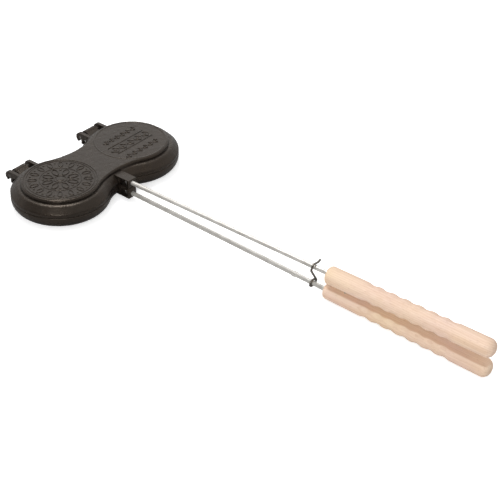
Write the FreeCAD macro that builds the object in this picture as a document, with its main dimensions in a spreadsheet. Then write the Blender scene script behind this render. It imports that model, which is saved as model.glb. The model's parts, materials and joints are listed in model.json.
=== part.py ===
import FreeCAD, Part

# A burger iron: two cast halves hinged at the back, each on a steel rod with a turned wooden grip,
# and a wire latch that holds the two rods together.
# Frame: origin in the middle of the flat base, +Z up, grips toward -Y, hinges toward +Y.
# Inside the two cast halves, heights are measured from the seam between them.

import math
import os
import re

import Sketcher

SIZES = {
    # Outline shared by both halves
    "lobe_offset": 61.0,
    "rim_radius": 60.9,
    "waist_half_width": 43.5,
    "seam_gap": 0.4,
    "seam_chamfer": 0.8,
    # Upper half
    "shoulder_height": 12.7,
    "shoulder_chamfer": 8.1,
    "shoulder_lower_round": 3.5,
    "shoulder_upper_round": 6.0,
    "plateau_inset": 12.5,
    "plateau_waist_inset": 8.5,
    "plateau_height": 4.4,
    "plateau_root": 3.0,
    "plateau_edge_round": 2.4,
    # Lower half
    "base_depth": 16.5,
    "base_round": 13.4,
    # Round cavities that shape the patties
    "rim_land": 6.4,
    "cavity_flare": 5.5,
    "cavity_depth": 10.6,
    "cavity_corner_round": 6.0,
    # Cast blocks that carry the rods
    "block_width": 13.0,
    "block_setback": 0.4,
    "block_embed": 3.0,
    "block_bar": 1.0,
    "block_end_wall": 2.5,
    "window_length": 12.5,
    "window_seam_bar": 1.6,
    "window_clearance": 0.25,
    "notch_chamfer": 2.5,
    "spot_face_depth": 0.1,
    "spot_face_margin": 0.1,
    # Rods and the hardware that locks them
    "rod_height": 7.3,
    "rod_tilt": 0.828,
    "rod_diameter": 5.5,
    "thread_diameter": 5.0,
    "thread_projection": 2.0,
    "nut_across_flats": 8.0,
    "nut_thickness": 4.0,
    "washer_diameter": 8.2,
    "washer_thickness": 1.2,
    "washer_bore_clearance": 0.1,
    "washer_split": 1.0,
    # Pinched stop on the lower rod
    "stop_to_latch": 29.2,
    "stop_length": 9.0,
    "stop_width": 7.6,
    "stop_thickness": 2.4,
    # Wooden grips
    "grip_distance": 356.5,
    "grip_stagger": 1.7,
    "grip_length": 213.5,
    "grip_radius": 10.8,
    "grip_flat_offset": 7.0,
    "grip_rod_offset": 1.3,
    "grip_front_round": 3.5,
    "grip_rear_round": 8.5,
    "ring_start": 57.0,
    "ring_pitch": 17.1,
    "ring_depth": 1.3,
    "rod_in_grip": 130.0,
    "bore_end_clearance": 2.0,
    # Cross pins inside the grips
    "grip_pin_diameter": 3.0,
    "grip_pin_distance": 25.0,
    "grip_pin_overshoot": 2.0,
    # Hinges
    "hinge_reach": 11.0,
    "hinge_height": 0.9,
    "hinge_pin_diameter": 4.8,
    "hinge_pin_chamfer": 0.4,
    "hinge_clearance": 0.1,
    "knuckle_width": 17.5,
    "knuckle_radius": 5.4,
    "knuckle_rim_gap": 0.8,
    "knuckle_ramp_height": 3.0,
    "knuckle_arm_depth": 9.5,
    "lug_side_gap": 5.0,
    "lug_thickness": 4.5,
    "lug_radius": 6.5,
    "lug_toe_width": 2.4,
    "lug_toe_drop": 1.6,
    "lug_embed": 6.9,
    # Wire latch
    "latch_to_grip": 20.1,
    "latch_lean": 5.5,
    "wire_diameter": 2.5,
    "eye_clearance": 0.25,
    "hook_side_clearance": 2.4,
    "hook_top_clearance": 0.6,
    "hook_drop": 1.7,
    "hook_crown_rise": 0.8,
    "hook_dip_reach": 6.2,
    "hook_tip_length": 3.8,
    "latch_heel_reach": 8.6,
    "latch_bend_radius": 2.6,
}
RING_COUNT = 7

doc = FreeCAD.newDocument("BurgerIron")
sheet = doc.addObject("Spreadsheet::Sheet", "Dimensions")
for row, (alias, number) in enumerate(SIZES.items(), start=1):
    sheet.set(f"A{row}", str(number))
    sheet.setAlias(f"A{row}", alias)
doc.recompute()


def formula(text):
    """Point every size name in a formula at its cell; each size name holds an underscore."""
    return re.sub(r"\b([a-z]+(?:_[a-z]+)+)\b", r"Dimensions.\1", str(text))


def value(text):
    """Work a formula out as a plain number."""
    result = sheet.evalExpression(formula(text))
    return float(getattr(result, "Value", result))


def bind(item, property_path, text):
    item.setExpression(property_path, formula(text))


def new_body(name, place=("0", "0", "0"), turn="0"):
    """Start a sub-part, moved to a place and turned about X by an angle in degrees."""
    body = doc.addObject("PartDesign::Body", name)
    body.Label = name
    body.Placement = FreeCAD.Placement(FreeCAD.Vector(), FreeCAD.Rotation(FreeCAD.Vector(1, 0, 0), 1))
    for axis, text in zip("xyz", place):
        bind(body, f".Placement.Base.{axis}", text)
    bind(body, ".Placement.Rotation.Angle", turn)
    return body


def new_sketch(body, name, plane, offset=("0", "0", "0"), turn="0"):
    """Start a sketch on one of the body's own planes, shifted and turned within that plane."""
    sketch = body.newObject("Sketcher::SketchObject", name)
    support = next(item for item in body.Origin.OriginFeatures if item.Role == plane)
    sketch.AttachmentSupport = [(support, "")]
    sketch.MapMode = "FlatFace"
    for axis, text in zip("xyz", offset):
        bind(sketch, f".AttachmentOffset.Base.{axis}", text)
    bind(sketch, ".AttachmentOffset.Rotation.Angle", turn)
    return sketch


def hold(sketch, kind, *where, text=None):
    """Add a constraint, with its size bound to a formula where it has one."""
    if text is None:
        return sketch.addConstraint(Sketcher.Constraint(kind, *where))
    index = sketch.addConstraint(Sketcher.Constraint(kind, *where, value(text)))
    bind(sketch, f"Constraints[{index}]", text)
    return index


def hold_point(sketch, curve, end, x_text, y_text):
    """Fix one end of a curve at a place in the sketch."""
    for kind, text, axis in (("DistanceX", x_text, -2), ("DistanceY", y_text, -1)):
        if abs(value(text)) < 1e-9:
            hold(sketch, "PointOnObject", curve, end, axis)
        else:
            hold(sketch, kind, -1, 1, curve, end, text=text)


def circle(sketch, x_text, y_text, radius_text):
    centre = FreeCAD.Vector(value(x_text), value(y_text), 0)
    index = sketch.addGeometry(Part.Circle(centre, FreeCAD.Vector(0, 0, 1), value(radius_text)))
    hold_point(sketch, index, 3, x_text, y_text)
    hold(sketch, "Radius", index, text=radius_text)


def bowed_arc(start, end, radius):
    """Arc of under a half circle that bows to the left of its chord, or to the right if radius < 0."""
    chord = end - start
    half = chord.Length / 2
    sagitta = abs(radius) - math.sqrt(radius * radius - half * half)
    left = FreeCAD.Vector(-chord.y, chord.x, 0).normalize()
    middle = (start + end) * 0.5 + left * math.copysign(sagitta, radius)
    return Part.Arc(start, middle, end)


def outline(sketch, corners):
    """Draw a closed outline. A corner is (x, y), or (x, y, radius) where an arc leaves it."""
    places = [FreeCAD.Vector(value(corner[0]), value(corner[1]), 0) for corner in corners]
    curves = []
    for number, corner in enumerate(corners):
        start = places[number]
        end = places[(number + 1) % len(corners)]
        if len(corner) == 2:
            curves.append((sketch.addGeometry(Part.LineSegment(start, end)), 1, 2))
            continue
        arc = bowed_arc(start, end, value(corner[2]))
        index = sketch.addGeometry(arc)
        forward = sketch.getPoint(index, 1).distanceToPoint(start) < 1e-6
        curves.append((index, 1, 2) if forward else (index, 2, 1))
    for number, (index, first, last) in enumerate(curves):
        following, following_first, _ = curves[(number + 1) % len(curves)]
        hold(sketch, "Coincident", index, last, following, following_first)
        hold_point(sketch, index, first, corners[number][0], corners[number][1])
        if len(corners[number]) == 3:
            hold(sketch, "Radius", index, text=f"abs({corners[number][2]})")


def rectangle(sketch, left, bottom, right, top):
    outline(sketch, [(left, bottom), (right, bottom), (right, top), (left, top)])


def figure_eight(sketch, lobe_radius, half_waist):
    """Draw two round lobes joined by hollow arcs that run smoothly into them."""
    hollow_radius = (
        f"({half_waist} ^ 2 + lobe_offset ^ 2 - {lobe_radius} ^ 2) / (2 * ({lobe_radius} - {half_waist}))"
    )
    offset = value("lobe_offset")
    radius = value(lobe_radius)
    hollow = value(hollow_radius)
    hollow_centre = value(half_waist) + hollow
    meet_x = offset * hollow / (radius + hollow)
    meet_y = hollow_centre * radius / (radius + hollow)
    lobe_angle = math.atan2(meet_y, meet_x - offset)
    hollow_angle = math.atan2(hollow_centre - meet_y, meet_x)

    def add_arc(x, y, arc_radius, first, last):
        arc_circle = Part.Circle(FreeCAD.Vector(x, y, 0), FreeCAD.Vector(0, 0, 1), arc_radius)
        return sketch.addGeometry(Part.ArcOfCircle(arc_circle, first, last))

    right = add_arc(offset, 0, radius, -lobe_angle, lobe_angle)
    left = add_arc(-offset, 0, radius, math.pi - lobe_angle, math.pi + lobe_angle)
    back = add_arc(0, hollow_centre, hollow, hollow_angle - math.pi, -hollow_angle)
    front = add_arc(0, -hollow_centre, hollow, hollow_angle, math.pi - hollow_angle)
    hold_point(sketch, right, 3, "lobe_offset", "0")
    hold_point(sketch, left, 3, "-lobe_offset", "0")
    hold(sketch, "Radius", right, text=lobe_radius)
    hold(sketch, "Radius", left, text=lobe_radius)
    hold(sketch, "Tangent", right, 2, back, 2)
    hold(sketch, "Tangent", back, 1, left, 1)
    hold(sketch, "Tangent", left, 2, front, 2)
    hold(sketch, "Tangent", front, 1, right, 1)
    hold(sketch, "Radius", back, text=hollow_radius)
    hold(sketch, "Radius", front, text=hollow_radius)


def extrude(body, kind, sketch, name, length, both_ways=False, backwards=False):
    """Pad or pocket a sketch and check that it really changed the solid."""
    before = body.Shape.Volume if body.Tip else 0.0
    feature = body.newObject(kind, name)
    feature.Profile = sketch
    if both_ways:
        feature.SideType = "Symmetric"
    feature.Reversed = backwards
    bind(feature, "Length", length)
    doc.recompute()
    check_change(feature, before)
    return feature


def pad(body, sketch, name, length, **ways):
    return extrude(body, "PartDesign::Pad", sketch, name, length, **ways)


def pocket(body, sketch, name, length, **ways):
    return extrude(body, "PartDesign::Pocket", sketch, name, length, **ways)


def spin(body, kind, sketch, name, axis):
    """Revolve a sketch about one of its own axes, to add material or to cut it."""
    before = body.Shape.Volume if body.Tip else 0.0
    feature = body.newObject(kind, name)
    feature.Profile = sketch
    feature.ReferenceAxis = (sketch, [axis])
    feature.Angle = 360
    doc.recompute()
    check_change(feature, before)
    return feature


def check_change(feature, before):
    change = feature.Shape.Volume - before
    grows = feature.TypeId in ("PartDesign::Pad", "PartDesign::Revolution")
    if change * (1 if grows else -1) <= 0:
        raise RuntimeError(f"{feature.Name} changes nothing")


def dress(body, kind, name, size_name, size, wanted):
    """Round or chamfer the edges of the body that pass a test."""
    base = body.Tip
    edges = [f"Edge{number}" for number, edge in enumerate(base.Shape.Edges, start=1) if wanted(edge)]
    if not edges:
        raise RuntimeError(f"{name} finds no edge")
    feature = body.newObject(kind, name)
    feature.Base = (base, edges)
    bind(feature, size_name, size)
    doc.recompute()
    return feature


def round_edges(body, name, radius, wanted):
    return dress(body, "PartDesign::Fillet", name, "Radius", radius, wanted)


def chamfer_edges(body, name, size, wanted):
    return dress(body, "PartDesign::Chamfer", name, "Size", size, wanted)


def lies_level(edge, height):
    """True for an edge that lies in one plane at this height of the body."""
    box = edge.BoundBox
    return abs(box.ZMin - height) < 1e-4 and abs(box.ZMax - height) < 1e-4


# Formulas shared by several pieces
PLATEAU_RADIUS = "(rim_radius - plateau_inset)"
PLATEAU_HALF_WAIST = "(waist_half_width - plateau_waist_inset)"
CAVITY_MOUTH = "(rim_radius - rim_land)"
CAVITY_FLOOR = f"({CAVITY_MOUTH} - cavity_flare)"
BLOCK_END = "(rim_radius - block_setback)"
HINGE_DISTANCE = "(rim_radius + hinge_reach)"
LATCH_DISTANCE = "(grip_distance - latch_to_grip)"
WINDOW_TOP = "(rod_height + washer_diameter / 2 + window_clearance)"
BLOCK_TOP = f"({WINDOW_TOP} + block_bar)"
LUG_OFFSET = "(knuckle_width / 2 + lug_side_gap + lug_thickness / 2)"
SEAT_TO_NUT = "(block_end_wall - spot_face_depth + washer_thickness)"
GRIP_FRONTS = {
    1: f"((grip_distance + grip_stagger - {BLOCK_END}) / cos(rod_tilt))",
    -1: f"((grip_distance - {BLOCK_END}) / cos(rod_tilt))",
}
GRIP_PIN_END = "(grip_rod_offset + rod_diameter / 2 + grip_pin_overshoot)"


def add_cavities(body, side):
    """Cut the two round cavities into the seam face of a half; side is 1 above the seam, -1 below."""
    depth = f"{side} * cavity_depth"
    for lobe, name in ((-1, "left"), (1, "right")):
        sketch = new_sketch(body, f"{name}_cavity_profile", "XZ_Plane", (f"{lobe} * lobe_offset", "0", "0"))
        corners = [("0", "0"), (CAVITY_MOUTH, "0"), (CAVITY_FLOOR, depth), ("0", depth)]
        outline(sketch, corners)
        spin(body, "PartDesign::Groove", sketch, f"{name}_cavity", "V_Axis")
    floor = value(depth)
    floor_radius = value(CAVITY_FLOOR)

    def is_floor_edge(edge):
        width = edge.BoundBox.XLength
        return lies_level(edge, floor) and abs(width - 2 * floor_radius) < 1e-3

    round_edges(body, "cavity_corners", "cavity_corner_round", is_floor_edge)


def add_rod_block(body, side):
    """Add the boss at the waist that carries the rod, with its side window, seam notch and bore."""
    sketch = new_sketch(body, "block_plan", "XY_Plane", ("0", "0", f"{side} * seam_gap / 2"))
    root = f"-({PLATEAU_HALF_WAIST} - block_embed)"
    rectangle(sketch, "-block_width / 2", f"-{BLOCK_END}", "block_width / 2", root)
    pad(body, sketch, "rod_block", f"{BLOCK_TOP} - seam_gap / 2", backwards=side < 0)

    seam = side * value("seam_gap") / 2
    end = -value(BLOCK_END)

    def is_notch_edge(edge):
        return lies_level(edge, seam) and abs(edge.BoundBox.YMax - end) < 1e-4

    chamfer_edges(body, "seam_notch", "notch_chamfer", is_notch_edge)

    sketch = new_sketch(body, "window_outline", "YZ_Plane")
    window_front = f"-({BLOCK_END} - block_end_wall)"
    window_back = f"-({BLOCK_END} - block_end_wall - window_length)"
    low = f"{side} * window_seam_bar"
    high = f"{side} * {WINDOW_TOP}"
    rectangle(sketch, window_front, low, window_back, high)
    pocket(body, sketch, "window", "block_width + 2 * block_end_wall", both_ways=True)

    mouth = (f"-{BLOCK_END}", f"{side} * rod_height", "0")
    sketch = new_sketch(body, "bore_profile", "YZ_Plane", mouth, f"{-side} * rod_tilt")
    outer_seat = "spot_face_depth"
    inner_seat = "(block_end_wall - spot_face_depth)"
    inner_radius = "(washer_diameter / 2 + spot_face_margin)"
    outer_radius = "(rod_diameter / 2 + spot_face_margin)"
    corners = [
        ("-spot_face_depth", "0"),
        (f"{inner_seat} + 2 * spot_face_depth", "0"),
        (f"{inner_seat} + 2 * spot_face_depth", inner_radius),
        (inner_seat, inner_radius),
        (inner_seat, "thread_diameter / 2"),
        (outer_seat, "thread_diameter / 2"),
        (outer_seat, outer_radius),
        ("-spot_face_depth", outer_radius),
    ]
    outline(sketch, corners)
    spin(body, "PartDesign::Groove", sketch, "rod_bore", "H_Axis")


def build_upper_pan():
    body = new_body("upper_pan", ("0", "0", "base_depth"))
    seam = value("seam_gap") / 2
    sketch = new_sketch(body, "rim_plan", "XY_Plane", ("0", "0", "seam_gap / 2"))
    figure_eight(sketch, "rim_radius", "waist_half_width")
    pad(body, sketch, "rim", "shoulder_height - seam_gap / 2")
    top = value("shoulder_height")
    chamfer_edges(body, "shoulder", "shoulder_chamfer", lambda edge: lies_level(edge, top))
    slope_foot = top - value("shoulder_chamfer")
    round_edges(body, "shoulder_foot", "shoulder_lower_round", lambda edge: lies_level(edge, slope_foot))
    round_edges(body, "shoulder_brow", "shoulder_upper_round", lambda edge: lies_level(edge, top))
    chamfer_edges(body, "seam_edge", "seam_chamfer", lambda edge: lies_level(edge, seam))

    sketch = new_sketch(body, "plateau_plan", "XY_Plane", ("0", "0", "shoulder_height - plateau_root"))
    figure_eight(sketch, PLATEAU_RADIUS, PLATEAU_HALF_WAIST)
    pad(body, sketch, "plateau", "plateau_height + plateau_root")
    crown = value("shoulder_height + plateau_height")
    round_edges(body, "plateau_edge", "plateau_edge_round", lambda edge: lies_level(edge, crown))

    add_rod_block(body, 1)
    add_hinge_lugs(body)
    add_cavities(body, 1)
    return body


def add_hinge_lugs(body):
    """Add two hooked lugs behind each lobe; their slots drop over the hinge pin."""
    slot_radius = "(hinge_pin_diameter / 2 + hinge_clearance)"
    root = "rim_radius - lug_embed"
    toe_front = f"{HINGE_DISTANCE} - {slot_radius} - lug_toe_width"
    toe_foot = "hinge_height - lug_radius - lug_toe_drop"
    arm_top = "hinge_height + lug_radius"
    for lobe, lobe_name in ((-1, "left"), (1, "right")):
        for side, side_name in ((-1, "inner"), (1, "outer")):
            plane = f"{lobe} * (lobe_offset + {side} * {LUG_OFFSET})"
            name = f"{lobe_name}_{side_name}_lug"
            sketch = new_sketch(body, f"{name}_arm_profile", "YZ_Plane", ("0", "0", plane))
            corners = [
                (root, "seam_gap / 2"),
                (toe_front, "seam_gap / 2"),
                (toe_front, toe_foot),
                (HINGE_DISTANCE, toe_foot),
                (HINGE_DISTANCE, arm_top),
                (root, arm_top),
            ]
            outline(sketch, corners)
            pad(body, sketch, f"{name}_arm", "lug_thickness", both_ways=True)
            sketch = new_sketch(body, f"{name}_eye_profile", "YZ_Plane", ("0", "0", plane))
            circle(sketch, HINGE_DISTANCE, "hinge_height", "lug_radius")
            pad(body, sketch, f"{name}_eye", "lug_thickness", both_ways=True)
    slot_foot = f"{toe_foot} - hinge_clearance"
    reach = f"2 * (lobe_offset + {LUG_OFFSET} + lug_thickness)"
    sketch = new_sketch(body, "slot_outline", "YZ_Plane")
    slot_front = f"{HINGE_DISTANCE} - {slot_radius}"
    rectangle(sketch, slot_front, slot_foot, f"{HINGE_DISTANCE} + {slot_radius}", "hinge_height")
    pocket(body, sketch, "lug_slots", reach, both_ways=True)
    sketch = new_sketch(body, "slot_end_outline", "YZ_Plane")
    circle(sketch, HINGE_DISTANCE, "hinge_height", slot_radius)
    pocket(body, sketch, "lug_slot_ends", reach, both_ways=True)


def build_lower_pan():
    body = new_body("lower_pan", ("0", "0", "base_depth"))
    seam = -value("seam_gap") / 2
    sketch = new_sketch(body, "rim_plan", "XY_Plane", ("0", "0", "-seam_gap / 2"))
    figure_eight(sketch, "rim_radius", "waist_half_width")
    pad(body, sketch, "rim", "base_depth - seam_gap / 2", backwards=True)
    base = -value("base_depth")
    round_edges(body, "base_edge", "base_round", lambda edge: lies_level(edge, base))
    chamfer_edges(body, "seam_edge", "seam_chamfer", lambda edge: lies_level(edge, seam))
    add_rod_block(body, -1)
    add_knuckles(body)
    add_cavities(body, -1)
    return body


def add_knuckles(body):
    """Add one knuckle behind each lobe, bored through for its hinge pin."""
    for lobe, name in ((-1, "left"), (1, "right")):
        plane = f"{lobe} * lobe_offset"
        sketch = new_sketch(body, f"{name}_knuckle_arm_profile", "YZ_Plane", ("0", "0", plane))
        root = "rim_radius - lug_embed"
        ramp_foot = "rim_radius + knuckle_rim_gap"
        knuckle_front = f"{HINGE_DISTANCE} - knuckle_radius"
        knuckle_foot = "hinge_height - knuckle_radius"
        corners = [
            (root, "-seam_gap / 2 - seam_chamfer"),
            (ramp_foot, "-seam_gap / 2 - seam_chamfer"),
            (ramp_foot, "knuckle_ramp_height"),
            (HINGE_DISTANCE, "hinge_height + knuckle_radius"),
            (HINGE_DISTANCE, knuckle_foot),
            (knuckle_front, f"{knuckle_foot} - seam_chamfer"),
            (root, "-knuckle_arm_depth"),
        ]
        outline(sketch, corners)
        pad(body, sketch, f"{name}_knuckle_arm", "knuckle_width", both_ways=True)
        sketch = new_sketch(body, f"{name}_knuckle_profile", "YZ_Plane", ("0", "0", plane))
        circle(sketch, HINGE_DISTANCE, "hinge_height", "knuckle_radius")
        pad(body, sketch, f"{name}_knuckle", "knuckle_width", both_ways=True)
    sketch = new_sketch(body, "pin_bore_outline", "YZ_Plane")
    circle(sketch, HINGE_DISTANCE, "hinge_height", "hinge_pin_diameter / 2")
    pocket(body, sketch, "pin_bores", "2 * (lobe_offset + knuckle_width)", both_ways=True)


def build_hinge_pin(name, lobe):
    place = (f"{lobe} * lobe_offset", HINGE_DISTANCE, "base_depth + hinge_height")
    body = new_body(name, place)
    sketch = new_sketch(body, "pin_section", "YZ_Plane")
    circle(sketch, "0", "0", "hinge_pin_diameter / 2")
    pad(body, sketch, "pin", "knuckle_width + 2 * lug_side_gap + 2 * lug_thickness", both_ways=True)
    chamfer_edges(body, "pin_ends", "hinge_pin_chamfer", lambda edge: edge.BoundBox.XLength < 1e-4)
    return body


def rod_place(side, drop="0"):
    """Place and turn of a piece on a rod's axis; its own Z runs along the rod toward the grip."""
    place = (
        "0",
        f"-{BLOCK_END} - {drop} * sin(rod_tilt)",
        f"base_depth + {side} * (rod_height - {drop} * cos(rod_tilt))",
    )
    return place, f"90 - {side} * rod_tilt"


def build_rod(name, side):
    body = new_body(name, *rod_place(side))
    sketch = new_sketch(body, "rod_profile", "XZ_Plane")
    seat = "-spot_face_depth"
    rod_end = f"{GRIP_FRONTS[side]} + rod_in_grip"
    thread_end = f"-{SEAT_TO_NUT} - nut_thickness - thread_projection"
    corners = [
        ("0", thread_end),
        ("thread_diameter / 2", thread_end),
        ("thread_diameter / 2", seat),
        ("rod_diameter / 2", seat),
        ("rod_diameter / 2", rod_end),
        ("0", rod_end),
    ]
    outline(sketch, corners)
    spin(body, "PartDesign::Revolution", sketch, "rod", "V_Axis")
    if side < 0:
        sketch = new_sketch(body, "stop_plan", "XZ_Plane")
        front = f"({LATCH_DISTANCE} - stop_to_latch - {BLOCK_END})"
        ear = "(stop_width - rod_diameter) / 2"
        corners = [
            ("-rod_diameter / 2 + wire_diameter / 4", front),
            ("rod_diameter / 2 - wire_diameter / 4", front),
            ("stop_width / 2", f"{front} + {ear} * 2"),
            ("stop_width / 2", f"{front} + stop_length - {ear} * 2"),
            ("rod_diameter / 2 - wire_diameter / 4", f"{front} + stop_length"),
            ("-rod_diameter / 2 + wire_diameter / 4", f"{front} + stop_length"),
            ("-stop_width / 2", f"{front} + stop_length - {ear} * 2"),
            ("-stop_width / 2", f"{front} + {ear} * 2"),
        ]
        outline(sketch, corners)
        pad(body, sketch, "pinched_stop", "stop_thickness", both_ways=True)
    sketch = new_sketch(body, "pin_hole_outline", "XZ_Plane")
    circle(sketch, "0", f"{GRIP_FRONTS[side]} + grip_pin_distance", "grip_pin_diameter / 2")
    pocket(body, sketch, "pin_hole", "2 * rod_diameter", both_ways=True)
    return body


def build_nut(name, side):
    body = new_body(name, *rod_place(side))
    sketch = new_sketch(body, "hexagon", "XY_Plane", ("0", "0", f"-{SEAT_TO_NUT}"))
    corner = "nut_across_flats / sqrt(3)"
    flat = "nut_across_flats / 2"
    corners = [
        (f"{corner}", "0"),
        (f"{corner} / 2", flat),
        (f"-{corner} / 2", flat),
        (f"-{corner}", "0"),
        (f"-{corner} / 2", f"-{flat}"),
        (f"{corner} / 2", f"-{flat}"),
    ]
    outline(sketch, corners)
    circle(sketch, "0", "0", "thread_diameter / 2")
    pad(body, sketch, "nut", "nut_thickness", backwards=True)
    return body


def build_washer(name, side):
    body = new_body(name, *rod_place(side))
    seat = "-(block_end_wall - spot_face_depth)"
    sketch = new_sketch(body, "ring", "XY_Plane", ("0", "0", seat))
    circle(sketch, "0", "0", "washer_diameter / 2")
    circle(sketch, "0", "0", "thread_diameter / 2 + washer_bore_clearance")
    pad(body, sketch, "washer", "washer_thickness", backwards=True)
    sketch = new_sketch(body, "split_plan", "XY_Plane", ("0", "0", seat))
    rectangle(sketch, "0", "-washer_split / 2", "washer_diameter", "washer_split / 2")
    pocket(body, sketch, "split", "washer_thickness")
    return body


def grip_profile(front, rear):
    """Half section of a turned grip: plain ends and a row of shallow rings between them."""
    quarter = "ring_pitch / 4"
    wave_radius = f"(({quarter}) ^ 2 + (ring_depth / 2) ^ 2) / ring_depth"
    middle_radius = "grip_radius - ring_depth / 2"
    corners = [("0", front), ("grip_radius", front)]
    crest = f"{front} + ring_start - ring_pitch / 2"
    corners.append(("grip_radius", crest, f"-{wave_radius}"))
    for ring in range(RING_COUNT):
        start = f"{crest} + {ring} * ring_pitch"
        corners.append((middle_radius, f"{start} + {quarter}", wave_radius))
        corners.append((middle_radius, f"{start} + 3 * {quarter}", f"-{wave_radius}"))
        if ring < RING_COUNT - 1:
            corners.append(("grip_radius", f"{start} + ring_pitch", f"-{wave_radius}"))
    corners.append(("grip_radius", f"{crest} + {RING_COUNT} * ring_pitch"))
    corners.append(("grip_radius", rear))
    corners.append(("0", rear))
    return corners


def build_grip(name, side):
    """Turned grip with its flat toward the seam and a blind bore for the rod."""
    body = new_body(name, *rod_place(side, "grip_rod_offset"))
    front = GRIP_FRONTS[side]
    rear = f"({front} + grip_length)"
    sketch = new_sketch(body, "turned_profile", "XZ_Plane")
    outline(sketch, grip_profile(front, rear))
    spin(body, "PartDesign::Revolution", sketch, "turned", "V_Axis")
    round_edges(body, "front_edge", "grip_front_round", lambda edge: lies_level(edge, value(front)))
    round_edges(body, "rear_edge", "grip_rear_round", lambda edge: lies_level(edge, value(rear)))
    sketch = new_sketch(body, "flat_plan", "XY_Plane", ("0", "0", front))
    rectangle(sketch, "-grip_radius", f"{-side} * grip_radius", "grip_radius", f"{-side} * grip_flat_offset")
    pocket(body, sketch, "flat", "grip_length", backwards=True)
    sketch = new_sketch(body, "bore_plan", "XY_Plane", ("0", "0", front))
    circle(sketch, "0", f"{side} * grip_rod_offset", "rod_diameter / 2")
    pocket(body, sketch, "rod_bore", "rod_in_grip + bore_end_clearance", backwards=True)
    sketch = new_sketch(body, "pin_plan", "XZ_Plane", ("0", "0", f"{side} * grip_flat_offset"))
    circle(sketch, "0", f"{front} + grip_pin_distance", "grip_pin_diameter / 2")
    pocket(body, sketch, "pin_hole", f"grip_flat_offset + {GRIP_PIN_END}", backwards=side < 0)
    return body


def build_grip_pin(name, side):
    """Pin driven through the flat of a grip and across its rod."""
    body = new_body(name, *rod_place(side, "grip_rod_offset"))
    sketch = new_sketch(body, "pin_section", "XZ_Plane", ("0", "0", f"{side} * grip_flat_offset"))
    circle(sketch, "0", f"{GRIP_FRONTS[side]} + grip_pin_distance", "grip_pin_diameter / 2")
    pad(body, sketch, "pin", f"grip_flat_offset + {GRIP_PIN_END}", backwards=side > 0)
    return body


def bend(corners, radius):
    """Straight runs through the corners, joined by tangent arcs of one radius."""
    edges = []
    start = corners[0]
    for before, corner, after in zip(corners, corners[1:], corners[2:]):
        toward = (before - corner).normalize()
        away = (after - corner).normalize()
        half_angle = toward.getAngle(away) / 2
        cut = radius / math.tan(half_angle)
        first = corner + toward * cut
        last = corner + away * cut
        inward = (toward + away).normalize()
        middle = corner + inward * (radius / math.sin(half_angle) - radius)
        edges.append(Part.LineSegment(start, first).toShape())
        edges.append(Part.Arc(first, middle, last).toShape())
        start = last
    edges.append(Part.LineSegment(start, corners[-1]).toShape())
    return edges


def build_latch():
    """Bent wire: an eye round the lower rod, a long slanted run and a hook over the upper rod."""
    wire_radius = value("wire_diameter") / 2
    rod_radius = value("rod_diameter") / 2
    eye_radius = rod_radius + value("eye_clearance") + wire_radius
    lean = math.radians(value("latch_lean"))
    tilt = math.radians(value("rod_tilt"))
    along = value(f"{LATCH_DISTANCE} - {BLOCK_END}")
    rod_at_latch = value("rod_height") + along * math.tan(tilt)
    spacing = 2 * rod_at_latch / math.cos(lean)
    swing_radius = spacing + rod_radius + wire_radius + value("hook_top_clearance")
    hook_side = rod_radius + wire_radius + value("hook_side_clearance")
    dip_reach = value("hook_dip_reach")

    def on_eye(degrees):
        angle = math.radians(degrees)
        return FreeCAD.Vector(eye_radius * math.cos(angle), eye_radius * math.sin(angle), 0)

    eye_start, eye_end = 40, -70
    leave = on_eye(eye_end)
    direction = FreeCAD.Vector(-leave.y, leave.x, 0).normalize()
    heel = leave + direction * ((value("latch_heel_reach") - leave.x) / direction.x)
    dip = FreeCAD.Vector(dip_reach, math.sqrt(swing_radius ** 2 - dip_reach ** 2), 0)
    tip_rise = math.radians(32)
    tip = dip + FreeCAD.Vector(math.cos(tip_rise), math.sin(tip_rise), 0) * value("hook_tip_length")
    corners = [
        leave,
        heel,
        FreeCAD.Vector(-hook_side, spacing - value("hook_drop"), 0),
        FreeCAD.Vector(-rod_radius - wire_radius, swing_radius + value("hook_crown_rise"), 0),
        dip,
        tip,
    ]
    eye = Part.Arc(on_eye(eye_start), on_eye(180), leave).toShape()
    path = Part.Wire([eye] + bend(corners, value("latch_bend_radius")))
    start = on_eye(eye_start)
    tangent = FreeCAD.Vector(-start.y, start.x, 0)
    section = Part.Wire([Part.Circle(start, tangent, wire_radius).toShape()])
    latch = doc.addObject("Part::Feature", "latch")
    latch.Label = "latch"
    latch.Shape = path.makePipeShell([section], True, False)
    height = value("base_depth") - rod_at_latch
    latch.Placement = FreeCAD.Placement(
        FreeCAD.Vector(0, -value(LATCH_DISTANCE), height),
        FreeCAD.Rotation(FreeCAD.Vector(1, 0, 0), 90 + value("latch_lean")),
    )
    return latch


pieces = [
    build_upper_pan(),
    build_lower_pan(),
    build_hinge_pin("left_hinge_pin", -1),
    build_hinge_pin("right_hinge_pin", 1),
    build_latch(),
]
for rod_side, half in ((1, "upper"), (-1, "lower")):
    pieces.append(build_rod(f"{half}_rod", rod_side))
    pieces.append(build_nut(f"{half}_rod_nut", rod_side))
    pieces.append(build_washer(f"{half}_rod_washer", rod_side))
    pieces.append(build_grip(f"{half}_grip", rod_side))
    pieces.append(build_grip_pin(f"{half}_grip_pin", rod_side))

doc.recompute()
for item in doc.Objects:
    if "Invalid" in item.State or "Error" in item.State:
        raise RuntimeError(f"{item.Name} is {item.State}")
for piece in pieces:
    if piece.Shape.isNull() or not piece.Shape.isValid() or len(piece.Shape.Solids) != 1:
        raise RuntimeError(f"{piece.Label} is not one valid solid")

os.makedirs("parts", exist_ok=True)
for piece in pieces:
    piece.Shape.exportStep(f"parts/{piece.Label}.step")
    print(piece.Label, f"{piece.Shape.Volume / 1000:.2f} cm3")
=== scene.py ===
import json
import math

import bmesh
import bpy
from mathutils import Matrix, Vector

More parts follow.
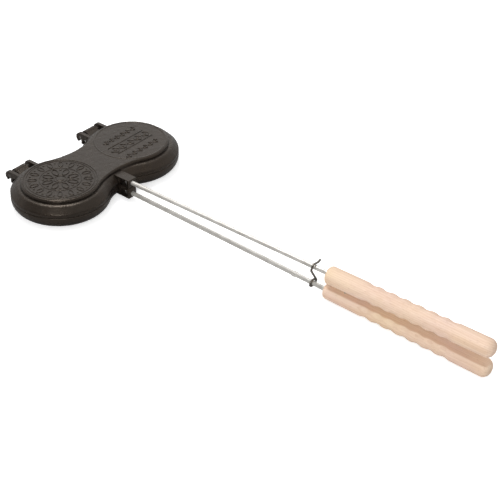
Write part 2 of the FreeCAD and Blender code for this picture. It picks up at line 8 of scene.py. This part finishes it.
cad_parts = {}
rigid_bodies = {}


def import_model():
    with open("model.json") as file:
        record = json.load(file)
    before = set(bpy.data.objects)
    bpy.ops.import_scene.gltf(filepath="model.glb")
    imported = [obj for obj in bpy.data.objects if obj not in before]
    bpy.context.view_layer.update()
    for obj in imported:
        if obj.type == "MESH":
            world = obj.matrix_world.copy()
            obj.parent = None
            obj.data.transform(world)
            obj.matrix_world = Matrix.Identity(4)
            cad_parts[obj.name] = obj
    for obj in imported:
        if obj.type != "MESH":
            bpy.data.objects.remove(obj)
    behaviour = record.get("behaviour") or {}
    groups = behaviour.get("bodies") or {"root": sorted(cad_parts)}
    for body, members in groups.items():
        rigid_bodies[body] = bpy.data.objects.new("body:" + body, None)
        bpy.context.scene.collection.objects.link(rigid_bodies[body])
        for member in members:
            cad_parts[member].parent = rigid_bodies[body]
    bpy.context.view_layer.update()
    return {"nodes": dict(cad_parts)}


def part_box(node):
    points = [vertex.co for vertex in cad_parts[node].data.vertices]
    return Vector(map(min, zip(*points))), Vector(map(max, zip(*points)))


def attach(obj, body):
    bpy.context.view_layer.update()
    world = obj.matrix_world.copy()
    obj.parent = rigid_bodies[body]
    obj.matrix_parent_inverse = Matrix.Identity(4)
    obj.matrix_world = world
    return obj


MM = 0.001

for leftover in list(bpy.data.objects):
    bpy.data.objects.remove(leftover)

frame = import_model()
nodes = frame["nodes"]


# Shaders


class Shader:
    """A Principled material with short ways to add nodes. Places are in metres, in the part's frame."""

    def __init__(self, name):
        self.material = bpy.data.materials.new(name)
        self.material.use_nodes = True
        self.tree = self.material.node_tree
        self.surface = self.tree.nodes["Principled BSDF"]
        self.place = self.add("ShaderNodeTexCoord").outputs["Object"]

    def feed(self, socket, source):
        if isinstance(source, bpy.types.NodeSocket):
            self.tree.links.new(source, socket)
        else:
            socket.default_value = source

    def add(self, kind, sources=None, **settings):
        node = self.tree.nodes.new(kind)
        for name, setting in settings.items():
            setattr(node, name, setting)
        for socket, source in (sources or {}).items():
            self.feed(node.inputs[socket], source)
        return node

    def stretch(self, scale, shift=(0, 0, 0), place=None):
        """Coordinates times a scale per axis, in cells per metre."""
        sources = {"Vector": place or self.place, "Scale": scale, "Location": shift}
        return self.add("ShaderNodeMapping", sources).outputs["Vector"]

    def noise(self, scale, detail=2.0, roughness=0.5, shift=(0, 0, 0), place=None):
        scale = scale if isinstance(scale, tuple) else (scale,) * 3
        sources = {
            "Vector": self.stretch(scale, shift, place),
            "Scale": 1.0,
            "Detail": detail,
            "Roughness": roughness,
        }
        return self.add("ShaderNodeTexNoise", sources).outputs["Fac"]

    def cells(self, scale, shift=(0, 0, 0)):
        scale = scale if isinstance(scale, tuple) else (scale,) * 3
        sources = {"Vector": self.stretch(scale, shift), "Scale": 1.0}
        return self.add("ShaderNodeTexVoronoi", sources).outputs["Distance"]

    def sums(self, operation, first, second=0.0):
        return self.add("ShaderNodeMath", {0: first, 1: second}, operation=operation).outputs[0]

    def span(self, source, low, high, out_low=0.0, out_high=1.0):
        """Map low..high to out_low..out_high and stop at the ends."""
        sources = {"Value": source, 1: low, 2: high, 3: out_low, 4: out_high}
        return self.add("ShaderNodeMapRange", sources).outputs["Result"]

    def mix(self, factor, first, second, blend="MIX"):
        node = self.add("ShaderNodeMix", data_type="RGBA", blend_type=blend)
        for index, source in ((0, factor), (6, first), (7, second)):
            self.feed(node.inputs[index], source)
        return node.outputs[2]

    def bump(self, height, distance, strength=1.0, over=None):
        sources = {"Height": height, "Distance": distance, "Strength": strength}
        if over is not None:
            sources["Normal"] = over
        return self.add("ShaderNodeBump", sources).outputs["Normal"]

    def edges(self, radius):
        """Rounded normal near sharp edges, and a mask that is 1 on them."""
        soft = self.add("ShaderNodeBevel", {"Radius": radius}, samples=6).outputs["Normal"]
        flat = self.add("ShaderNodeNewGeometry").outputs["Normal"]
        dot = self.add("ShaderNodeVectorMath", {0: soft, 1: flat}, operation="DOT_PRODUCT")
        return soft, self.span(dot.outputs["Value"], 0.995, 0.9)

    def finish(self, colour, roughness, normal, metallic=0.0, **fixed):
        self.feed(self.surface.inputs["Base Color"], colour)
        self.feed(self.surface.inputs["Roughness"], roughness)
        self.feed(self.surface.inputs["Normal"], normal)
        self.surface.inputs["Metallic"].default_value = metallic
        for name, setting in fixed.items():
            self.surface.inputs[name.replace("_", " ")].default_value = setting
        return self.material


def rgb(red, green, blue):
    """Linear colour from 8-bit display values."""
    def line(channel):
        channel /= 255
        return channel / 12.92 if channel <= 0.04045 else ((channel + 0.055) / 1.055) ** 2.4

    return (line(red), line(green), line(blue), 1.0)


def make_iron():
    """Sand-cast iron, seasoned: grey-brown, faintly pitted, brighter on rubbed edges, with painted shade
    darkening its corners and recesses.
    """
    iron = Shader("seasoned_cast_iron")
    soft, edge = iron.edges(0.5 * MM)
    patches = iron.noise(16, 3)
    mottle = iron.noise(170, 4, 0.6)
    grain = iron.noise(1500, 2)
    pits = iron.cells(620)
    colour = iron.mix(iron.span(patches, 0.35, 0.68), rgb(27, 22, 18), rgb(36, 28, 22))
    colour = iron.mix(iron.span(mottle, 0.3, 0.7, 0.0, 0.6), colour, rgb(20, 18, 17))
    colour = iron.mix(iron.span(pits, 0.0, 0.16, 0.35, 0.0), colour, rgb(10, 9, 8))
    colour = iron.mix(iron.sums("MULTIPLY", edge, 0.45), colour, rgb(92, 78, 66))
    # Painted shade: ambient occlusion darkens corners, creases and the feet of relief ridges toward near
    # black.
    shade = iron.add("ShaderNodeAmbientOcclusion", {"Distance": 3.0 * MM}, samples=8, only_local=True)
    painted_recess_shade = iron.span(shade.outputs["AO"], 0.45, 0.95, 1.0, 0.0)
    colour = iron.mix(iron.sums("MULTIPLY", painted_recess_shade, 0.8), colour, rgb(6, 5, 5))
    rough = iron.sums("ADD", iron.span(mottle, 0.3, 0.7, 0.24, 0.38), iron.sums("MULTIPLY", edge, -0.08))
    normal = iron.bump(mottle, 0.8 * MM, 0.7, soft)
    normal = iron.bump(grain, 0.10 * MM, 0.6, normal)
    normal = iron.bump(iron.span(pits, 0.0, 0.25), 0.10 * MM, 0.5, normal)
    return iron.finish(colour, rough, normal, 0.0, IOR=1.5, Specular_Tint=rgb(255, 236, 216))


def make_wood(name, pith, shift):
    """Pale turned beech: growth rings round a pith beside the grip, long fibres and short ray flecks."""
    wood = Shader(name)
    soft, edge = wood.edges(0.35 * MM)
    place = wood.add("ShaderNodeVectorMath", {0: wood.place, 1: shift}, operation="ADD").outputs[0]
    waver = wood.noise((14, 3, 14), 2, place=place)
    parts = wood.add("ShaderNodeSeparateXYZ", {0: place})
    across = wood.sums("ADD", parts.outputs["X"], wood.span(waver, 0, 1, -4 * MM - pith[0], 4 * MM - pith[0]))
    upward = wood.sums("SUBTRACT", parts.outputs["Z"], pith[1])
    radius = wood.sums(
        "SQRT", wood.sums("ADD", wood.sums("POWER", across, 2.0), wood.sums("POWER", upward, 2.0))
    )
    turns = wood.sums("FRACT", wood.sums("DIVIDE", radius, 2.3 * MM))
    late = wood.span(turns, 0.55, 1.0)
    fibre = wood.noise((1300, 26, 1300), 3, 0.6, place=place)
    streak = wood.noise((190, 7, 190), 3, 0.55, place=place)
    blush = wood.noise((22, 12, 22), 2, place=place)
    fleck = wood.span(wood.noise((1500, 210, 1500), 1, place=place), 0.64, 0.74)
    colour = wood.mix(wood.span(blush, 0.35, 0.65), rgb(239, 214, 184), rgb(236, 208, 192))
    colour = wood.mix(wood.span(streak, 0.4, 0.72, 0.0, 0.55), colour, rgb(219, 183, 150))
    colour = wood.mix(wood.sums("MULTIPLY", late, 0.28), colour, rgb(201, 158, 121))
    colour = wood.mix(wood.span(fibre, 0.45, 0.75, 0.0, 0.25), colour, rgb(206, 166, 132))
    colour = wood.mix(wood.sums("MULTIPLY", fleck, 0.3), colour, rgb(176, 128, 92))
    rough = wood.span(fibre, 0.3, 0.7, 0.5, 0.68)
    normal = wood.bump(fibre, 0.06 * MM, 0.5, soft)
    normal = wood.bump(streak, 0.10 * MM, 0.35, normal)
    return wood.finish(colour, rough, normal, 0.0, IOR=1.45)


def make_steel(name, light, dark, roughness, lengthwise, tarnish=0.3, metallic=1.0):
    """Bare steel with fine drawing lines along it and a light tarnish."""
    steel = Shader(name)
    soft, edge = steel.edges(0.15 * MM)
    lines = steel.noise(lengthwise, 2, 0.6)
    film = steel.noise(90, 4, 0.6)
    specks = steel.noise(900, 3)
    colour = steel.mix(steel.span(film, 0.4, 0.75, 0.0, tarnish * 2), light, dark)
    colour = steel.mix(steel.span(lines, 0.35, 0.75, 0.0, tarnish), colour, dark)
    colour = steel.mix(steel.sums("MULTIPLY", edge, 0.4), colour, rgb(225, 223, 220))
    rough = steel.span(steel.sums("ADD", film, specks), 0.6, 1.4, roughness - 0.07, roughness + 0.1)
    normal = steel.bump(lines, 0.03 * MM, 0.5, soft)
    normal = steel.bump(specks, 0.02 * MM, 0.4, normal)
    return steel.finish(colour, rough, normal, metallic)


iron = make_iron()
upper_wood = make_wood("turned_beech_upper", (-48 * MM, -35 * MM), (0.013, 0.31, 0.02))
lower_wood = make_wood("turned_beech_lower", (36 * MM, 58 * MM), (0.041, 0.07, 0.05))
bright = make_steel(
    "drawn_bright_steel", rgb(226, 223, 217), rgb(182, 177, 169), 0.36, (1500, 30, 1500), metallic=0.6
)
zinc = make_steel("plain_steel", rgb(196, 194, 190), rgb(118, 114, 108), 0.38, (900, 900, 900))
dark_pin = make_steel("dark_pin_steel", rgb(120, 116, 112), rgb(60, 56, 52), 0.42, (60, 900, 900))
wire = make_steel("dark_spring_wire", rgb(142, 136, 128), rgb(80, 74, 68), 0.34, (700, 700, 60))

FINISHES = {
    "upper_pan": iron,
    "lower_pan": iron,
    "upper_grip": upper_wood,
    "lower_grip": lower_wood,
    "upper_rod": bright,
    "lower_rod": bright,
    "upper_rod_nut": zinc,
    "lower_rod_nut": zinc,
    "upper_rod_washer": zinc,
    "lower_rod_washer": zinc,
    "upper_grip_pin": zinc,
    "lower_grip_pin": zinc,
    "left_hinge_pin": dark_pin,
    "right_hinge_pin": dark_pin,
    "latch": wire,
}
for node_name, finish in FINISHES.items():
    nodes[node_name].material_slots[0].material = finish


# Cast ornament on the two lobes

PLATEAU_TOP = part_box("upper_pan")[1].z
SUNK = 0.3 * MM
RIDGE_PROFILE = (
    (-1.0, None),
    (-0.86, 0.45),
    (-0.5, 0.87),
    (0.0, 1.0),
    (0.5, 0.87),
    (0.86, 0.45),
    (1.0, None),
)


def add_ridge(mesh, path, half_width, height, closed=True):
    """Lay a rounded ridge along a level path, with mitred corners and closed ends."""
    count = len(path)
    rows = []
    for index, point in enumerate(path):
        before = path[index - 1] if index or closed else point
        after = path[(index + 1) % count] if index < count - 1 or closed else point
        arrive = (point - before).normalized() if point != before else (after - point).normalized()
        leave = (after - point).normalized() if point != after else arrive
        tangent = (arrive + leave).normalized()
        side = Vector((-tangent.y, tangent.x, 0))
        mitre = 1 / max(0.5, tangent.dot(arrive))
        row = []
        for offset, rise in RIDGE_PROFILE:
            level = -SUNK if rise is None else rise * height
            spot = point + side * offset * half_width * mitre
            row.append(mesh.verts.new((spot.x, spot.y, PLATEAU_TOP + level)))
        rows.append(row)
    width = len(RIDGE_PROFILE)
    for index in range(count if closed else count - 1):
        first, second = rows[index], rows[(index + 1) % count]
        for column in range(width):
            following = (column + 1) % width
            mesh.faces.new((first[column], second[column], second[following], first[following]))
    if not closed:
        mesh.faces.new(rows[0])
        mesh.faces.new(list(reversed(rows[-1])))


def add_stud(mesh, centre, radius, height, steps=20, layers=4):
    """Set a low dome on the plateau."""
    rings = []
    for layer in range(layers + 1):
        angle = layer / (layers + 1) * math.pi / 2
        level = -SUNK if layer == 0 else height * math.sin(angle)
        reach = radius * math.cos(angle)
        rings.append([
            mesh.verts.new((
                centre.x + reach * math.cos(2 * math.pi * step / steps),
                centre.y + reach * math.sin(2 * math.pi * step / steps),
                PLATEAU_TOP + level,
            ))
            for step in range(steps)
        ])
    for low, high in zip(rings, rings[1:]):
        for step in range(steps):
            following = (step + 1) % steps
            mesh.faces.new((low[step], low[following], high[following], high[step]))
    crown = mesh.verts.new((centre.x, centre.y, PLATEAU_TOP + height))
    for step in range(steps):
        mesh.faces.new((rings[-1][step], rings[-1][(step + 1) % steps], crown))
    mesh.faces.new(list(reversed(rings[0])))


def ring_path(centre, radius, steps=96):
    turns = [2 * math.pi * step / steps for step in range(steps)]
    return [centre + Vector((math.cos(turn), math.sin(turn), 0)) * radius for turn in turns]


def leaf_path(centre, angle, inner, outer, half_width, steps=20):
    """Pointed leaf whose long axis runs out from the centre."""
    direction = Vector((math.cos(angle), math.sin(angle), 0))
    side = Vector((-direction.y, direction.x, 0))
    path = []
    for step in range(steps):
        turn = 2 * math.pi * step / steps
        along = (1 - math.cos(turn)) / 2
        bulge = math.sin(turn) * (0.55 + 0.45 * along) * (1 - 0.35 * along)
        path.append(centre + direction * (inner + (outer - inner) * along) + side * bulge * half_width)
    return path


def lozenge_path(centre, half_length, half_height):
    corners = ((1, 0), (0, 1), (-1, 0), (0, -1))
    return [centre + Vector((x * half_length, y * half_height, 0)) for x, y in corners]


def finish_relief(mesh, name):
    """Turn the built relief into an object that rides on the upper half."""
    bmesh.ops.recalc_face_normals(mesh, faces=mesh.faces)
    data = bpy.data.meshes.new(name)
    mesh.to_mesh(data)
    mesh.free()
    data.materials.append(iron)
    data.shade_smooth()
    relief = bpy.data.objects.new(name, data)
    bpy.context.scene.collection.objects.link(relief)
    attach(relief, "upper")
    return relief


def build_rosette():
    """Left lobe: rings, a wreath of leaves and studs, and a petalled boss."""
    centre = Vector((-61, 0, 0)) * MM
    mesh = bmesh.new()
    for radius, half_width, height in (
        (44.9, 0.9, 0.6),
        (41.6, 0.5, 0.5),
        (25.4, 0.55, 0.5),
        (7.6, 0.6, 0.6),
    ):
        add_ridge(mesh, ring_path(centre, radius * MM), half_width * MM, height * MM)
    wreath = 16
    for number in range(wreath):
        angle = 2 * math.pi * number / wreath
        add_ridge(mesh, leaf_path(centre, angle, 28.2 * MM, 39.2 * MM, 4.3 * MM), 0.6 * MM, 0.7 * MM)
        half_step = angle + math.pi / wreath
        outward = Vector((math.cos(half_step), math.sin(half_step), 0))
        add_stud(mesh, centre + outward * 37.4 * MM, 1.3 * MM, 0.8 * MM)
    petals = 8
    for number in range(petals):
        angle = 2 * math.pi * (number + 0.5) / petals
        add_ridge(mesh, leaf_path(centre, angle, 9.6 * MM, 22.8 * MM, 5.6 * MM), 0.65 * MM, 0.8 * MM)
        half_step = angle + math.pi / petals
        outward = Vector((math.cos(half_step), math.sin(half_step), 0))
        add_stud(mesh, centre + outward * 20.8 * MM, 1.5 * MM, 0.9 * MM)
    add_stud(mesh, centre, 5.2 * MM, 0.6 * MM, 32)
    return finish_relief(mesh, "left_rosette")


def build_rows():
    """Right lobe: a faint ring and three rows of lozenges, the middle row larger and between bars."""
    mesh = bmesh.new()
    add_ridge(mesh, ring_path(Vector((61, 0, 0)) * MM, 45.0 * MM), 1.3 * MM, 0.3 * MM)
    for middle_x, y, count, half_length, half_height in (
        (59.5, 17.5, 6, 4.5, 4.0),
        (57.5, -3.5, 5, 6.4, 5.8),
        (56.5, -25.0, 6, 4.5, 4.0),
    ):
        for number in range(count):
            x = middle_x + (2 * number - count + 1) * (half_length + 0.25)
            centre = Vector((x, y, 0)) * MM
            add_ridge(mesh, lozenge_path(centre, half_length * MM, half_height * MM), 0.7 * MM, 0.75 * MM)
            add_stud(mesh, centre, 0.3 * half_height * MM, 0.8 * MM)
    for y in (-3.5 + 8.6, -3.5 - 8.6):
        ends = [Vector((57.5 + reach, y, 0)) * MM for reach in (-31, 31)]
        add_ridge(mesh, ends, 0.55 * MM, 0.55 * MM, closed=False)
    return finish_relief(mesh, "right_rows")


build_rosette()
build_rows()


# Floor, light and camera

REST_SLOPE = math.atan2(7.6, 612.5)
REST_EDGE = Vector((0, 47.5 * MM, -0.15 * MM))


def build_stage():
    """White floor that touches the back of the base and the end of the lower grip."""
    data = bpy.data.meshes.new("floor")
    reach = 6.0
    corners = [(-reach, -reach, 0), (reach, -reach, 0), (reach, reach, 0), (-reach, reach, 0)]
    data.from_pydata(corners, [], [(0, 1, 2, 3)])
    floor = bpy.data.objects.new("floor", data)
    bpy.context.scene.collection.objects.link(floor)
    floor.matrix_world = Matrix.Translation(REST_EDGE) @ Matrix.Rotation(REST_SLOPE, 4, "X")
    shader = Shader("white_floor")
    tree = shader.tree
    path = shader.add("ShaderNodeLightPath")
    colour = shader.mix(path.outputs["Is Glossy Ray"], (0.8, 0.8, 0.8, 1), (0.4, 0.4, 0.4, 1))
    matte = shader.add("ShaderNodeBsdfDiffuse", {"Color": colour})
    seen = shader.sums("MULTIPLY", path.outputs["Is Camera Ray"], 0.6)
    glow = shader.add("ShaderNodeEmission", {"Strength": seen})
    both = shader.add("ShaderNodeAddShader", {0: matte.outputs[0], 1: glow.outputs[0]})
    tree.links.new(both.outputs[0], tree.nodes["Material Output"].inputs["Surface"])
    tree.nodes.remove(shader.surface)
    data.materials.append(shader.material)


DARK_SIDE = Vector((-0.74, -0.38, 0.555))
BRIGHT_SIDE = Vector((0.73, 0.59, 0.35))


def light_world():
    """White studio, dark at its open front and brightest at its far end."""
    world = bpy.data.worlds.new("studio")
    bpy.context.scene.world = world
    world.use_nodes = True
    tree = world.node_tree
    tree.nodes["Background"].inputs["Color"].default_value = (1, 1, 1, 1)

    def add(kind, sources, **settings):
        node = tree.nodes.new(kind)
        for name, setting in settings.items():
            setattr(node, name, setting)
        for socket, source in sources.items():
            if isinstance(source, bpy.types.NodeSocket):
                tree.links.new(source, node.inputs[socket])
            else:
                node.inputs[socket].default_value = source
        return node

    def maths(operation, first, second):
        return add("ShaderNodeMath", {0: first, 1: second}, operation=operation).outputs[0]

    def facing(direction, low, high, out_low, out_high):
        """Level of the room from how near a ray runs to a direction."""
        near = add("ShaderNodeVectorMath", {0: toward, 1: direction}, operation="DOT_PRODUCT")
        sources = {"Value": near.outputs["Value"], 1: low, 2: high, 3: out_low, 4: out_high}
        return add("ShaderNodeMapRange", sources).outputs["Result"]

    path = add("ShaderNodeLightPath", {}).outputs
    toward = add("ShaderNodeTexCoord", {}).outputs["Generated"]
    room = maths("ADD", facing(DARK_SIDE, 0.3, 0.8, 0.65, 0.06), facing(BRIGHT_SIDE, 0.8, 1.0, 0.0, 0.5))
    glossy = maths("MULTIPLY", path["Is Glossy Ray"], room)
    soft = maths("MULTIPLY", path["Is Diffuse Ray"], 0.39)
    level = maths("ADD", maths("ADD", glossy, soft), path["Is Camera Ray"])
    tree.links.new(level, tree.nodes["Background"].inputs["Strength"])


def add_sun(name, direction, strength, spread):
    """Very soft, even light that arrives from a direction."""
    data = bpy.data.lights.new(name, "SUN")
    data.energy = strength
    data.angle = math.radians(spread)
    lamp = bpy.data.objects.new(name, data)
    lamp.rotation_euler = Vector(direction).to_track_quat("Z", "Y").to_euler()
    bpy.context.scene.collection.objects.link(lamp)


def add_softbox(name, target, direction, distance, width, depth, energy):
    """Rectangular lamp that faces the target."""
    data = bpy.data.lights.new(name, "AREA")
    data.shape = "RECTANGLE"
    data.size = width
    data.size_y = depth
    data.energy = energy
    lamp = bpy.data.objects.new(name, data)
    away = Vector(direction).normalized()
    lamp.location = Vector(target) + away * distance
    lamp.rotation_euler = away.to_track_quat("Z", "Y").to_euler()
    bpy.context.scene.collection.objects.link(lamp)


def place_camera():
    right = Vector((0.635331, -0.772131, 0.012978))
    upward = Vector((0.435156, 0.371842, 0.819984))
    data = bpy.data.cameras.new("photo_view")
    data.sensor_width = 36.0
    data.lens = 104.994
    data.clip_start = 0.05
    data.clip_end = 50.0
    camera = bpy.data.objects.new("photo_view", data)
    turn = Matrix((right, upward, right.cross(upward))).transposed().to_4x4()
    camera.matrix_world = Matrix.Translation(Vector((-1072.10, -1111.64, 970.35)) * MM) @ turn
    bpy.context.scene.collection.objects.link(camera)
    bpy.context.scene.camera = camera


build_stage()
light_world()
add_sun("fill", (-0.35, -0.3, 0.9), 0.5, 80)
add_softbox("key_box", (-0.11, -0.03, 0.03), (0.16, 0.25, 0.955), 1.6, 0.55, 0.75, 13.5)
add_softbox("front_box", (-0.05, -0.2, 0.03), (-0.72, -0.42, 0.56), 1.7, 0.5, 0.35, 9.5)
place_camera()

bpy.context.scene.view_settings.view_transform = "Standard"

bpy.context.view_layer.update()
